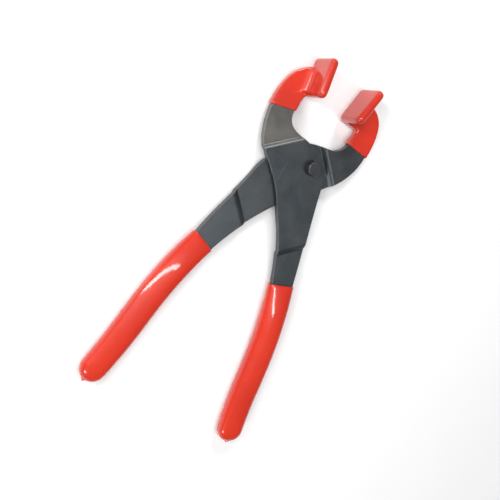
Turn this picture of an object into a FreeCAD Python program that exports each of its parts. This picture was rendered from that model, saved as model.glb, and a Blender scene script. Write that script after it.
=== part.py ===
import FreeCAD, Part
import math
import os

# Padded-jaw gripping pliers: two joggled flat levers on one rivet, an upright paddle on
# each jaw, jaws and handles dipped in soft plastic.
# Origin on the pivot axis at the upper lever's near face, where the rivet's head stands.
# +Y runs to the jaws, +Z along the pivot away from the levers. Millimetres.

PLATE = 3.5              # lever plate thickness
LAP_GAP = 0.1            # running gap between the two levers at the pivot
JOGGLE = 1.8             # height of each step that brings jaws and handles into one plane
JOGGLE_RUN = 3.4         # plan length of a step
MID = -PLATE - LAP_GAP / 2.0     # height of the common plane of jaws and handles

SHANK_R = 3.0            # rivet shank
HEAD_R = 4.0             # rivet's tall cylindrical head, free above the upper lever
HEAD_TOP = 6.0
BORE_CLEARANCE = 0.05
PEEN_R = 4.8             # closed end of the rivet under the lower lever
PEEN_H = 1.0

PADDLE_LENGTH = 19.9     # steel plates inside the dipped paddles
PADDLE_WIDTH = 20.3
PADDLE_T = 3.0
COAT = 0.85              # thickness of the soft coat on the jaws
SOFT_RIM = 0.75          # rounding of the coat's rims on the jaw arms
FILLET = 4.5             # soft fillet between a jaw arm and the back of its paddle
WELD = 2.2               # leg of the weld bead behind each paddle

# Gripping faces in plan: centre of the coated face, and lean away from +Y.
LEFT_FACE = (-21.4, 42.5)
LEFT_LEAN = 10.3
RIGHT_FACE = (3.6, 43.0)
RIGHT_LEAN = -9.0

# Edges of the bare steel jaw arms in plan: outer from the paddle down, inner from the
# throat up. Each coat ends at a dip line across its arm.
LEFT_ARM_OUTER = [(-25.4, 46.6), (-30.6, 43.2), (-34.6, 38.4), (-37.2, 31.0), (-38.0, 23.0),
                  (-37.2, 14.5)]
LEFT_ARM_INNER = [(-20.8, 13.9), (-23.9, 17.6), (-24.7, 23.0), (-24.6, 29.0), (-22.6, 33.6)]
LEFT_DIP_LINE = [(-70.0, 8.8), (0.0, 27.7)]
RIGHT_ARM_OUTER = [(8.0, 47.2), (14.5, 46.9), (19.8, 45.0), (23.6, 41.2), (25.8, 36.0),
                   (27.0, 29.5), (27.1, 21.5), (26.0, 13.2)]
RIGHT_ARM_INNER = [(8.8, 15.6), (12.9, 19.3), (14.4, 24.5), (15.0, 30.6)]
RIGHT_ARM_ROOT = [(13.4, 32.8), (4.6, 32.8)]      # inner edge below the foot of the paddle
RIGHT_DIP_LINE = [(-10.0, 24.5), (50.0, 19.8)]

# Centre lines of the handles from the grip's mouth to its tip, in plan.
RIGHT_LINE = [(22.3, -64.0), (28.0, -83.5), (32.6, -105.0), (35.6, -126.0),
              (38.4, -143.0), (42.3, -158.6)]
LEFT_LINE = [(-32.4, -63.2), (-38.5, -82.5), (-43.0, -104.6), (-45.9, -126.0),
             (-48.7, -142.5), (-52.2, -158.0)]
TANG_START_W = 13.0      # steel inside a grip, at its mouth
TANG_END_W = 9.0
TANG_SHORT = 7.0         # steel stops this far before the centre line ends

GRIP_N = 2.7             # squareness of a grip's section
GRIP_MOUTH = (15.6, 6.6)         # width and thickness at the mouth
GRIP_BODY = (15.5, 11.2)         # and over the middle
TIP_LENGTH = 8.5         # length over which a grip's tip rounds off
GRIP_END = (14.6, 10.4)          # and where the tip starts to round off


def vec(x, y, z=0.0):
    return FreeCAD.Vector(x, y, z)


def curve_edge(points):
    """A straight edge through two points, a smooth one through more."""
    vectors = [vec(*point) for point in points]
    if len(vectors) == 2:
        return Part.makeLine(vectors[0], vectors[1])
    curve = Part.BSplineCurve()
    curve.interpolate(vectors)
    return curve.toShape()


def closed_face(chains, extra_edges):
    """Flat face in plan bounded by chains of points and ready-made edges, end to end."""
    edges = [curve_edge(chain) for chain in chains] + extra_edges
    return Part.Face(Part.Wire(Part.__sortEdges__(edges)))


def line_curve(points):
    curve = Part.BSplineCurve()
    curve.interpolate([vec(*point) for point in points])
    return curve


def along(curve, fraction):
    """Point and unit tangent of a centre line at a fraction of its length."""
    distance = curve.length() * fraction
    parameter = curve.parameterAtDistance(distance, curve.FirstParameter)
    tangent = curve.tangent(parameter)[0]
    return curve.value(parameter), tangent


def tang(points):
    """Outline of the steel inside a grip: its edges, and its two corners at the mouth."""
    curve = line_curve(points)
    last = 1.0 - TANG_SHORT / curve.length()
    left = []
    right = []
    for step in range(5):
        part = step / 4.0
        at, tangent = along(curve, last * part)
        half = (TANG_START_W + (TANG_END_W - TANG_START_W) * part) / 2.0
        left.append((at.x + tangent.y * half, at.y - tangent.x * half))
        right.append((at.x - tangent.y * half, at.y + tangent.x * half))
    end, tangent = along(curve, last)
    tip = end + tangent * (TANG_END_W * 0.4)
    round_end = Part.Arc(vec(*left[-1]), tip, vec(*right[-1])).toShape()
    return [curve_edge(left), round_end, curve_edge(right)], left[0], right[0]


def step_edge(start, end, upper):
    """S-shaped edge in the XZ plane, level at both ends.

    The outward bend is the wide one: the high end of an upper side, the low end of an under side.
    """
    run = end.x - start.x
    start_wide = (start.z > end.z) == upper
    leave = run * (0.62 if start_wide else 0.2)
    arrive = run * (0.2 if start_wide else 0.62)
    curve = Part.BezierCurve()
    curve.setPoles([start, start + vec(leave, 0, 0), end - vec(arrive, 0, 0), end])
    return curve.toShape()


def joggled_strip(angle, jaw_foot, handle_foot, lap_base, step):
    """A long strip of plate, level across the lap and stepped by `step` at both ends.

    angle is the strip's direction in plan towards the jaw; the feet are the distances of
    the step lines' outer edges from the pivot along the strip; lap_base is its underside.
    """
    reach = 200.0
    edges = []
    for upper in (False, True):
        base = lap_base + PLATE if upper else lap_base
        corners = [vec(reach, 0, base + step), vec(jaw_foot, 0, base + step),
                   vec(jaw_foot - JOGGLE_RUN, 0, base), vec(handle_foot + JOGGLE_RUN, 0, base),
                   vec(handle_foot, 0, base + step), vec(-reach, 0, base + step)]
        edges.append(Part.makeLine(corners[0], corners[1]))
        edges.append(step_edge(corners[1], corners[2], upper))
        edges.append(Part.makeLine(corners[2], corners[3]))
        edges.append(step_edge(corners[3], corners[4], upper))
        edges.append(Part.makeLine(corners[4], corners[5]))
    for x in (reach, -reach):
        low = vec(x, 0, lap_base + step)
        edges.append(Part.makeLine(low, low + vec(0, 0, PLATE)))
    wire = Part.Wire(Part.__sortEdges__(edges))
    strip = Part.Face(wire).extrude(vec(0, 2 * reach, 0))
    strip.translate(vec(0, -reach, 0))
    strip.rotate(vec(0, 0, 0), vec(0, 0, 1), angle)
    return strip


def upper_outline():
    """Upper lever in plan: left jaw arm, eye, right handle."""
    tang_edges, left_mouth, right_mouth = tang(RIGHT_LINE)
    outer = LEFT_ARM_OUTER + [(-33.9, 3.2), (-28.6, -4.9), (-20.8, -11.6), (-12.6, -19.2),
                              (-4.7, -29.5), (2.2, -38.8), (9.2, -50.6), left_mouth]
    inner = [right_mouth, (23.9, -46.2), (16.7, -22.8), (12.3, -7.2), (8.9, 2.4), (4.6, 7.3),
             (-1.2, 9.6), (-7.0, 10.8), (-14.0, 12.0)] + LEFT_ARM_INNER
    return closed_face([outer, inner, [inner[-1], outer[0]]], tang_edges)


def lower_outline():
    """Lower lever in plan: right jaw arm, eye, left handle."""
    tang_edges, left_mouth, right_mouth = tang(LEFT_LINE)
    outer = RIGHT_ARM_OUTER + [(22.9, 5.2), (18.0, -2.2), (7.0, -13.6), (-5.5, -27.3),
                               (-13.6, -39.2), (-20.0, -50.6), right_mouth]
    inner = [left_mouth, (-35.6, -48.2), (-31.9, -35.6), (-27.8, -21.0), (-24.0, -8.2),
             (-18.4, -1.0), (-13.4, 5.4), (-7.2, 10.8), (2.6, 14.0)] + RIGHT_ARM_INNER
    root = [inner[-1]] + RIGHT_ARM_ROOT + [outer[0]]
    straights = [list(pair) for pair in zip(root, root[1:])]
    return closed_face([outer, inner] + straights, tang_edges)


def prism(face, low, high):
    solid = face.extrude(vec(0, 0, high - low))
    solid.translate(vec(0, 0, low))
    return solid


def upper_plate():
    strip = joggled_strip(132.0, 18.2, -44.8, -PLATE, -JOGGLE)
    return prism(upper_outline(), 2 * MID, 1.0).common(strip).Solids[0]


def lower_plate():
    strip = joggled_strip(46.0, 13.0, -46.2, 2 * MID, JOGGLE)
    return prism(lower_outline(), 2 * MID - 1.0, 0.0).common(strip).Solids[0]


def upright_block(side, depth, thickness, length, width, corner):
    """Block standing along +Z behind the plane X = 0, its four corners rounded.

    side is +1 when the block lies on the +X side; depth is how far its near side lies back.
    """
    block = Part.makeBox(thickness, length, width)
    near = depth if side > 0 else -depth - thickness
    block.translate(vec(near, -length / 2.0, 0))
    return block.makeFillet(corner, [edge for edge in block.Edges
                                     if edge.BoundBox.XLength > thickness / 2.0])


def placed(shape, face_centre, lean, base):
    shape.rotate(vec(0, 0, 0), vec(0, 0, 1), lean)
    shape.translate(vec(face_centre[0], face_centre[1], base))
    return shape


def paddle(face_centre, lean, side):
    """Steel gripping plate: its far edge level with the jaw's far face."""
    plate = upright_block(side, COAT, PADDLE_T, PADDLE_LENGTH, PADDLE_WIDTH, 2.4)
    return placed(plate, face_centre, lean, MID - PLATE / 2.0)


def weld(face_centre, lean, side):
    """Bead in the corner between a jaw's near face and the back of its paddle."""
    back = side * (COAT + PADDLE_T)
    toe = back + side * WELD
    wire = Part.makePolygon([vec(back, -8.0, 0), vec(toe, -8.0, 0), vec(back, -8.0, WELD),
                             vec(back, -8.0, 0)])
    bead = Part.Face(wire).extrude(vec(0, 11.5, 0))
    return placed(bead, face_centre, lean, MID + PLATE / 2.0)


def dipped_paddle(face_centre, lean, side):
    """Soft coat round a paddle plate, all its rims rounded."""
    block = upright_block(side, 0.0, PADDLE_T + 2 * COAT, PADDLE_LENGTH + 2 * COAT,
                          PADDLE_WIDTH + 2 * COAT, 3.1)
    rims = [edge for edge in block.Edges if edge.BoundBox.XLength < 1e-4]
    return placed(block.makeFillet(2.0, rims), face_centre, lean, MID - PLATE / 2.0 - COAT)


def shifted(points, distance):
    """The same chain of points moved sideways, to the right of its direction if positive."""
    moved = []
    for index, (x, y) in enumerate(points):
        before = points[max(index - 1, 0)]
        after = points[min(index + 1, len(points) - 1)]
        run = (after[0] - before[0], after[1] - before[1])
        size = math.hypot(run[0], run[1])
        moved.append((x + run[1] / size * distance, y - run[0] / size * distance))
    return moved


def coat_outline(outer, inner, root, side):
    """Plan outline of the soft coat on a jaw arm; root is the edge under the paddle."""
    outer = shifted(outer, -side * COAT)
    inner = shifted(inner, -side * COAT)
    under = [inner[-1]] + [(x - COAT / 2.0, y - COAT) for x, y in root] + [outer[0]]
    straights = [list(pair) for pair in zip(under, under[1:])] + [[outer[-1], inner[0]]]
    return closed_face([outer, inner] + straights, [])


def dipped_arm(outline, dip_line):
    """Soft coat round a jaw arm beyond its dip line."""
    coat = prism(outline, MID - PLATE / 2.0 - COAT, MID + PLATE / 2.0 + COAT)
    (x0, y0), (x1, y1) = dip_line
    corners = [vec(x0, y0), vec(x1, y1), vec(x1, 80), vec(x0, 80), vec(x0, y0)]
    arm = coat.common(prism(Part.Face(Part.makePolygon(corners)), 2 * MID, 2.0)).Solids[0]
    rims = [edge for edge in arm.Edges if edge.BoundBox.ZLength < 1e-4]
    return arm.makeFillet(SOFT_RIM, rims)


def soft_fillet(face_centre, lean, side, start, end):
    """Hollow-sided fillet between a jaw's near face and the back of its paddle."""
    back = side * (2 * COAT + PADDLE_T - 0.6)
    toe = side * (2 * COAT + PADDLE_T + FILLET)
    rise = FILLET + 0.6
    middle = side * (2 * COAT + PADDLE_T + FILLET * 0.29)
    a = vec(back, start, -0.6)
    b = vec(toe, start, -0.6)
    c = vec(toe, start, 0.0)
    d = vec(side * (2 * COAT + PADDLE_T), start, FILLET)
    e = vec(back, start, rise - 0.6)
    hollow = Part.Arc(c, vec(middle, start, FILLET * 0.29), d).toShape()
    edges = [Part.makeLine(a, b), Part.makeLine(b, c), hollow, Part.makeLine(d, e),
             Part.makeLine(e, a)]
    ridge = Part.Face(Part.Wire(edges)).extrude(vec(0, end - start, 0))
    return placed(ridge, face_centre, lean, MID + PLATE / 2.0 + COAT)


def jaw_dip(outline, dip_line, face_centre, lean, side, inner):
    """The whole soft coat of one jaw, hollowed by the steel it covers."""
    fillet = soft_fillet(face_centre, lean, side, -9.4, 3.4)
    skin = dipped_arm(outline, dip_line).fuse(dipped_paddle(face_centre, lean, side))
    skin = skin.fuse(fillet.common(prism(outline, MID, 8.0)))
    for steel in inner:
        skin = skin.cut(steel)
    return skin.Solids[0]


def grip_section(centre, tangent, width, height):
    """Closed squarish section standing across a centre line."""
    points = []
    for step in range(32):
        angle = 2 * math.pi * (step + 0.5) / 32
        cosine = math.cos(angle)
        sine = math.sin(angle)
        across = math.copysign(abs(cosine) ** (2 / GRIP_N), cosine) * width / 2.0
        up = math.copysign(abs(sine) ** (2 / GRIP_N), sine) * height / 2.0
        points.append(vec(centre.x + tangent.y * across, centre.y - tangent.x * across, MID + up))
    curve = Part.BSplineCurve()
    curve.interpolate(points, PeriodicFlag=True)
    return Part.Wire([curve.toShape()])


def grip_size(distance, length):
    """Width and thickness of a grip at a distance from its mouth."""
    swell = min(1.0, distance / 26.0)
    swell = math.sin(swell * math.pi / 2.0)
    taper = max(0.0, (distance - 60.0) / (length - 60.0))
    width = GRIP_MOUTH[0] + (GRIP_BODY[0] - GRIP_MOUTH[0]) * swell
    height = GRIP_MOUTH[1] + (GRIP_BODY[1] - GRIP_MOUTH[1]) * swell
    width += (GRIP_END[0] - GRIP_BODY[0]) * taper
    height += (GRIP_END[1] - GRIP_BODY[1]) * taper
    left = length - distance
    if left < TIP_LENGTH:
        round_off = (1.0 - ((TIP_LENGTH - left) / TIP_LENGTH) ** 2.2) ** 0.5
        width *= round_off
        height *= round_off
    return width, height


def grip(points, lever):
    """Dipped handle grip from mouth to tip, with the drip left at its end."""
    curve = line_curve(points)
    length = curve.length()
    stations = [0.0, 6.0, 13.0, 21.0, 30.0, 40.0, 50.0, 60.0]
    stations += [length - TIP_LENGTH * left for left in (3.2, 2.5, 1.9, 1.45, 1.15, 0.95, 0.75, 0.55,
                                                         0.38, 0.23, 0.11, 0.03)]
    sections = []
    for distance in stations:
        at, tangent = along(curve, distance / length)
        width, height = grip_size(distance, length)
        sections.append(grip_section(at, tangent, width, height))
    body = Part.makeLoft(sections, True, False)
    end, tangent = along(curve, 1.0)
    drip = Part.makeCone(2.6, 0.7, 2.2, end - tangent * 1.3 + vec(0, 0, MID), tangent)
    drop = Part.makeSphere(0.75, end + tangent * 0.8 + vec(0, 0, MID))
    return body.fuse([drip, drop]).cut(lever).Solids[0]


def rivet():
    """Tall plain head above the upper lever, shank through both, closed over underneath."""
    seat = LAP_GAP
    bottom = 2 * MID
    head = Part.makeCylinder(HEAD_R, HEAD_TOP - seat, vec(0, 0, seat))
    rim = [edge for edge in head.Edges if edge.BoundBox.ZMin > HEAD_TOP - 0.01]
    head = head.makeChamfer(0.45, rim)
    shank = Part.makeCylinder(SHANK_R, seat - bottom + 1.0, vec(0, 0, bottom - 0.5))
    peen = Part.makeCylinder(PEEN_R, PEEN_H, vec(0, 0, bottom - PEEN_H))
    rim = [edge for edge in peen.Edges if edge.BoundBox.ZMax < bottom - PEEN_H + 0.01]
    peen = peen.makeFillet(0.7, rim)
    return head.fuse([shank, peen]).removeSplitter()


def bored(plate, radius):
    return plate.cut(Part.makeCylinder(radius, 20.0, vec(0, 0, 2 * MID - 5.0)))


def build():
    left_paddle = paddle(LEFT_FACE, LEFT_LEAN, -1)
    right_paddle = paddle(RIGHT_FACE, RIGHT_LEAN, 1)
    upper = bored(upper_plate(), SHANK_R + BORE_CLEARANCE).cut(left_paddle).Solids[0]
    lower = bored(lower_plate(), SHANK_R).cut(right_paddle).Solids[0]
    left_weld = weld(LEFT_FACE, LEFT_LEAN, -1)
    right_weld = weld(RIGHT_FACE, RIGHT_LEAN, 1)
    left_coat = coat_outline(LEFT_ARM_OUTER, LEFT_ARM_INNER, [], -1)
    right_coat = coat_outline(RIGHT_ARM_OUTER, RIGHT_ARM_INNER, RIGHT_ARM_ROOT, 1)
    left_dip = jaw_dip(left_coat, LEFT_DIP_LINE, LEFT_FACE, LEFT_LEAN, -1,
                       [upper, left_paddle, left_weld])
    right_dip = jaw_dip(right_coat, RIGHT_DIP_LINE, RIGHT_FACE, RIGHT_LEAN, 1,
                        [lower, right_paddle, right_weld])
    return {
        "upper_lever": upper,
        "lower_lever": lower,
        "left_paddle": left_paddle,
        "right_paddle": right_paddle,
        "left_paddle_weld": left_weld,
        "right_paddle_weld": right_weld,
        "left_jaw_dip": left_dip,
        "right_jaw_dip": right_dip,
        "left_grip": grip(LEFT_LINE, lower),
        "right_grip": grip(RIGHT_LINE, upper),
        "pivot_rivet": rivet(),
    }


os.makedirs("parts", exist_ok=True)
for name, shape in build().items():
    shape.exportStep("parts/%s.step" % name)
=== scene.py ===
import math
import bpy
from mathutils import Matrix, Quaternion, Vector


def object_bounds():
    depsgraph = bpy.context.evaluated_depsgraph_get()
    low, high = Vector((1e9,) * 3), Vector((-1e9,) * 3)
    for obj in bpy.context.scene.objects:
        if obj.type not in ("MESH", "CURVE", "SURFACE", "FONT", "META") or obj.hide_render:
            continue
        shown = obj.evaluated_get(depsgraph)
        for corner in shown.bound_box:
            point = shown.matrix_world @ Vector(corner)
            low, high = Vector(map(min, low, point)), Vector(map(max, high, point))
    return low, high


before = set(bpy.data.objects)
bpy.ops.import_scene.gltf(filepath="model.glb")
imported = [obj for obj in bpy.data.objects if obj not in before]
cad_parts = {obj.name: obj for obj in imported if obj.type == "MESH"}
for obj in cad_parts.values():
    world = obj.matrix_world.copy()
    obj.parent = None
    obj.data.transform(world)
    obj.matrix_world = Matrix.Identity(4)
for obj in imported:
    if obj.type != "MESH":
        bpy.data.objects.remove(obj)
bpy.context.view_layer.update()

MM = 0.001               # the frame is in metres

# Colours, linear RGBA.
SCRATCH_AND_GLINT_STEEL = (0.5, 0.49, 0.45, 1.0)        # bright metal for the scratches, and a painted highlight along the edges
# the rivet's bright metal, for its scratches and a painted highlight along its edges
SCRATCH_AND_GLINT_RIVET = (0.4, 0.39, 0.37, 1.0)
JOGGLE_SHEEN_TONE = (0.17, 0.16, 0.142, 1.0)        # painted sheen: a paler tone standing in for the light on the upper lever past its joggle step
PIT = (0.016, 0.017, 0.018, 1.0)
VINYL_BLOOM = (0.72, 0.06, 0.025, 1.0)       # paler mottling in the soft coat
FLOOR_WHITE = (0.93, 0.93, 0.93, 1.0)
FLOOR_SHADE = (0.9, 0.9, 0.9, 1.0)

# The upper lever's painted sheen, a highlight painted past its joggle step: its strip's direction
# in plan towards the jaw, and where along it the painted sheen starts and is full.
UPPER_STRIP = (-0.669, 0.743)
SHEEN_START = 14.5 * MM
SHEEN_FULL = 18.5 * MM

EDGE_GLINT_RADIUS = 0.5 * MM     # width of the painted edge highlight and of the edges' rounded normals

FLOOR_HALF = 6.0         # the floor's half size
FLOOR_GAP = 0.2 * MM     # between the floor and the lowest point above it

LIGHT_TARGET = (-0.005, -0.055, 0.0)
WORLD_LIGHT = 0.2

CAMERA_PLACE = Vector((-182.8, -48.2, 372.4)) * MM
CAMERA_AIM = Vector((-7.08, -55.51, 0.0)) * MM
CAMERA_ROLL = math.radians(29.98)            # turn about the line of sight, from +Y upright
LENS_LENGTH = 54.33
SENSOR_WIDTH = 36.0


# --- node helpers -----------------------------------------------------------------------

class Shader:
    """A material's node tree with short calls for the nodes used below."""

    def __init__(self, name):
        self.material = bpy.data.materials.new(name)
        self.material.use_nodes = True
        self.tree = self.material.node_tree
        self.bsdf = self.tree.nodes["Principled BSDF"]
        coords = self.tree.nodes.new("ShaderNodeTexCoord")
        self.object_xyz = coords.outputs["Object"]

    def node(self, kind, inputs=None, **settings):
        made = self.tree.nodes.new(kind)
        for key, value in settings.items():
            setattr(made, key, value)
        for key, value in (inputs or {}).items():
            self.feed(made.inputs[key], value)
        return made

    def feed(self, socket, value):
        if isinstance(value, bpy.types.NodeSocket):
            self.tree.links.new(value, socket)
        else:
            socket.default_value = value

    def noise(self, scale, detail=3.0, rough=0.5, stretch=None):
        vector = self.object_xyz
        if stretch:
            mapped = self.node("ShaderNodeMapping", {"Vector": vector, "Scale": stretch[0],
                                                     "Rotation": stretch[1]})
            vector = mapped.outputs["Vector"]
        made = self.node("ShaderNodeTexNoise", {"Vector": vector, "Scale": scale,
                                                "Detail": detail, "Roughness": rough})
        return made.outputs["Fac"]

    def spread(self, value, low, high, to_low, to_high):
        """value, clamped to low..high, mapped to to_low..to_high."""
        made = self.node("ShaderNodeMapRange", {"Value": value, "From Min": low, "From Max": high,
                                                "To Min": to_low, "To Max": to_high})
        return made.outputs["Result"]

    def math(self, operation, a, b=0.0):
        made = self.node("ShaderNodeMath", {0: a, 1: b}, operation=operation)
        return made.outputs["Value"]

    def mix(self, factor, a, b):
        made = self.node("ShaderNodeMix", {"Factor": factor}, data_type="RGBA")
        self.feed(made.inputs[6], a)
        self.feed(made.inputs[7], b)
        return made.outputs[2]

    def edges(self, radius):
        """How near an edge a point is, 0 on open faces to 1, and the normal rounded over it."""
        bevel = self.node("ShaderNodeBevel", {"Radius": radius}, samples=6)
        geometry = self.node("ShaderNodeNewGeometry")
        dot = self.node("ShaderNodeVectorMath", {0: bevel.outputs["Normal"],
                                                 1: geometry.outputs["Normal"]},
                        operation="DOT_PRODUCT")
        return self.spread(dot.outputs["Value"], 0.995, 0.8, 0.0, 1.0), bevel.outputs["Normal"]

    def bump(self, height, distance, strength=1.0, normal=None):
        made = self.node("ShaderNodeBump", {"Height": height, "Distance": distance,
                                            "Strength": strength})
        if normal is not None:
            self.feed(made.inputs["Normal"], normal)
        return made.outputs["Normal"]

    def finish(self, **inputs):
        for key, value in inputs.items():
            self.feed(self.bsdf.inputs[key.replace("_", " ")], value)
        return self.material


# --- materials ----------------------------------------------------------------------------

def painted_sheen_zone(s, clouds, tone):
    """tone painted paler along the upper lever's strip past its joggle step, a painted highlight.
    """
    reach = s.node("ShaderNodeVectorMath", {0: s.object_xyz, 1: UPPER_STRIP + (0.0,)},
                   operation="DOT_PRODUCT").outputs["Value"]
    painted_sheen = s.spread(reach, SHEEN_START, SHEEN_FULL, 0.0, 0.75)
    painted_sheen = s.math("MULTIPLY", painted_sheen, s.spread(clouds, 0.3, 0.6, 0.55, 1.0))
    return s.mix(painted_sheen, tone, JOGGLE_SHEEN_TONE)


def plate_steel(name, dark, light, scratch_and_glint, painted_sheen=False):
    """Heat-darkened plate: cloudy scale, fine pitting, a few scratches, a painted highlight along
    the edges, and optionally a painted sheen past the upper lever's joggle step.
    """
    s = Shader(name)
    clouds = s.noise(70.0, 5.0, 0.62)
    grain = s.noise(700.0, 3.0, 0.6)
    specks = s.noise(1700.0, 2.0, 0.7)
    scratch = s.noise(260.0, 3.0, 0.5, ((1.0, 0.05, 1.0), (0.0, 0.0, 0.7)))
    # The edges are painted paler, a painted highlight standing in for light caught on the rounded
    # edges; the bevel also rounds their normals.
    painted_edge_glint, round_normal = s.edges(EDGE_GLINT_RADIUS)
    painted_edge_glint = s.math("MULTIPLY", painted_edge_glint, s.spread(s.noise(260.0, 4.0), 0.3, 0.62, 0.35, 1.0))
    tone = s.mix(s.spread(clouds, 0.32, 0.7, 0.0, 1.0), dark, light)
    # painted sheen: the upper lever is painted paler past its joggle step, standing in for the
    # light caught there
    if painted_sheen:
        tone = painted_sheen_zone(s, clouds, tone)
    tone = s.mix(s.spread(scratch, 0.68, 0.74, 0.0, 0.08), tone, scratch_and_glint)
    tone = s.mix(s.spread(specks, 0.6, 0.74, 0.0, 0.55), tone, PIT)
    # painted highlight: the bright tone laid over the edges
    tone = s.mix(s.math("MULTIPLY", painted_edge_glint, 0.55), tone, scratch_and_glint)
    rough = s.math("ADD", s.spread(clouds, 0.3, 0.7, 0.3, 0.42),
                   s.spread(grain, 0.3, 0.7, -0.04, 0.06))
    skin = s.bump(grain, 0.03 * MM, 0.4, round_normal)
    skin = s.bump(specks, 0.03 * MM, 0.4, skin)
    return s.finish(Base_Color=tone, Metallic=0.55, Roughness=rough, Normal=skin)


def dipped_vinyl(name, body, deep, gloss, waves):
    """Soft dipped plastic: slow waves from the dip, faint mottling, fine pores, scuffs.

    gloss is the roughness of the body under its clear skin; waves is their depth in mm.
    """
    s = Shader(name)
    slow = s.noise(38.0, 1.5, 0.4)
    mottle = s.noise(320.0, 4.0, 0.6)
    pores = s.noise(2600.0, 2.0, 0.6)
    scuff = s.noise(150.0, 6.0, 0.7, ((1.0, 0.25, 1.0), (0.0, 0.0, 0.3)))
    tone = s.mix(s.spread(slow, 0.35, 0.68, 0.0, 1.0), body, deep)
    tone = s.mix(s.spread(mottle, 0.58, 0.8, 0.0, 0.2), tone, VINYL_BLOOM)
    rough = s.math("ADD", s.spread(mottle, 0.3, 0.7, gloss - 0.03, gloss + 0.05),
                   s.spread(scuff, 0.6, 0.8, 0.0, 0.12))
    coat_rough = s.spread(scuff, 0.5, 0.8, 0.06, 0.18)
    skin = s.bump(slow, waves * MM, 1.0)
    skin = s.bump(mottle, 0.012 * MM, 0.3, skin)
    skin = s.bump(pores, 0.006 * MM, 0.3, skin)
    return s.finish(Base_Color=tone, Roughness=rough, Normal=skin, Specular_IOR_Level=0.3,
                    Coat_Weight=0.75, Coat_Roughness=coat_rough, Coat_IOR=1.5,
                    Coat_Normal=skin)


# the upper lever gets the painted sheen past its joggle step
steel_upper = plate_steel("upper_plate_steel", (0.04, 0.048, 0.055, 1.0),
                          (0.064, 0.073, 0.08, 1.0), SCRATCH_AND_GLINT_STEEL, painted_sheen=True)
steel_lower = plate_steel("lower_plate_steel", (0.042, 0.05, 0.057, 1.0),
                          (0.068, 0.076, 0.082, 1.0), SCRATCH_AND_GLINT_STEEL)
steel_rivet = plate_steel("rivet_steel", (0.034, 0.038, 0.042, 1.0),
                          (0.06, 0.064, 0.068, 1.0), SCRATCH_AND_GLINT_RIVET)
vinyl_grip = dipped_vinyl("grip_vinyl", (0.66, 0.03, 0.009, 1.0),
                          (0.58, 0.024, 0.008, 1.0), gloss=0.34, waves=0.1)
# painted shade: the jaw dip is the grip vinyl tinted darker and duller, standing in for the
# shaded look of the jaws' faces
painted_shade_jaw_vinyl = dipped_vinyl("jaw_vinyl_painted_shade", (0.62, 0.028, 0.01, 1.0),
                         (0.52, 0.022, 0.008, 1.0), gloss=0.36, waves=0.1)


# --- pieces -------------------------------------------------------------------------------

def shade(node, material):
    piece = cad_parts[node]
    piece.data.materials.clear()
    piece.data.materials.append(material)
    return piece


def soften(piece, voxel, passes):
    """Fine even skin over a dipped piece, its corners flowed smooth."""
    remesh = piece.modifiers.new("even_skin", "REMESH")
    remesh.mode = "VOXEL"
    remesh.voxel_size = voxel
    remesh.use_smooth_shade = True
    flow = piece.modifiers.new("flow", "SMOOTH")
    flow.factor = 0.5
    flow.iterations = passes


for node, material in (("upper_lever", steel_upper), ("lower_lever", steel_lower),
                       ("pivot_rivet", steel_rivet), ("left_paddle", steel_lower),
                       ("right_paddle", steel_lower), ("left_paddle_weld", steel_lower),
                       ("right_paddle_weld", steel_lower)):
    shade(node, material)

for node in ("left_grip", "right_grip"):
    soften(shade(node, vinyl_grip), 0.4 * MM, 20)
for node in ("left_jaw_dip", "right_jaw_dip"):
    soften(shade(node, painted_shade_jaw_vinyl), 0.3 * MM, 24)


# --- floor, light, camera -------------------------------------------------------------------

def floor_material():
    s = Shader("pale_floor")
    tint = s.mix(s.spread(s.noise(6.0), 0.3, 0.7, 0.0, 1.0), FLOOR_WHITE, FLOOR_SHADE)
    return s.finish(Base_Color=tint, Roughness=0.9)


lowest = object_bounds()[0]
corners = [(x * FLOOR_HALF, y * FLOOR_HALF, 0.0) for x, y in ((-1, -1), (1, -1), (1, 1), (-1, 1))]
mesh = bpy.data.meshes.new("floor")
mesh.from_pydata(corners, [], [(0, 1, 2, 3)])
mesh.materials.append(floor_material())
floor = bpy.data.objects.new("floor", mesh)
floor.location = (0.0, 0.0, lowest[2] - FLOOR_GAP)
bpy.context.scene.collection.objects.link(floor)


def softbox(name, place, width, height, watts):
    """Rectangular area light aimed at the middle of the tool."""
    light = bpy.data.lights.new(name, "AREA")
    light.shape = "RECTANGLE"
    light.size = width
    light.size_y = height
    light.energy = watts
    lamp = bpy.data.objects.new(name, light)
    lamp.location = place
    aim = Vector(LIGHT_TARGET) - Vector(place)
    lamp.rotation_euler = aim.to_track_quat("-Z", "Y").to_euler()
    bpy.context.scene.collection.objects.link(lamp)


softbox("key_strip", (-0.36, -0.04, 0.72), 0.07, 1.6, 8.2)
softbox("jaw_box", (-0.24, 0.66, 0.52), 0.2, 0.16, 3.0)
softbox("handle_box", (-0.28, -0.75, 0.5), 0.2, 0.16, 2.0)

scene = bpy.context.scene
world = bpy.data.worlds.new("studio")
scene.world = world
world.use_nodes = True
background = world.node_tree.nodes["Background"]
background.inputs["Color"].default_value = (1.0, 1.0, 1.0, 1.0)
background.inputs["Strength"].default_value = WORLD_LIGHT


def camera_turn():
    """Rotation that looks from CAMERA_PLACE to CAMERA_AIM, rolled about that line."""
    back = (CAMERA_PLACE - CAMERA_AIM).normalized()
    level = Vector((0.0, 1.0, 0.0)).cross(back).normalized()
    right = Quaternion(back, CAMERA_ROLL) @ level
    return Matrix((right, back.cross(right), back)).transposed().to_4x4()


lens = bpy.data.cameras.new("camera")
lens.lens = LENS_LENGTH
lens.sensor_width = SENSOR_WIDTH
lens.clip_start = 0.01
camera = bpy.data.objects.new("camera", lens)
camera.matrix_world = Matrix.Translation(CAMERA_PLACE) @ camera_turn()
scene.collection.objects.link(camera)
scene.camera = camera
scene.view_settings.view_transform = "Standard"
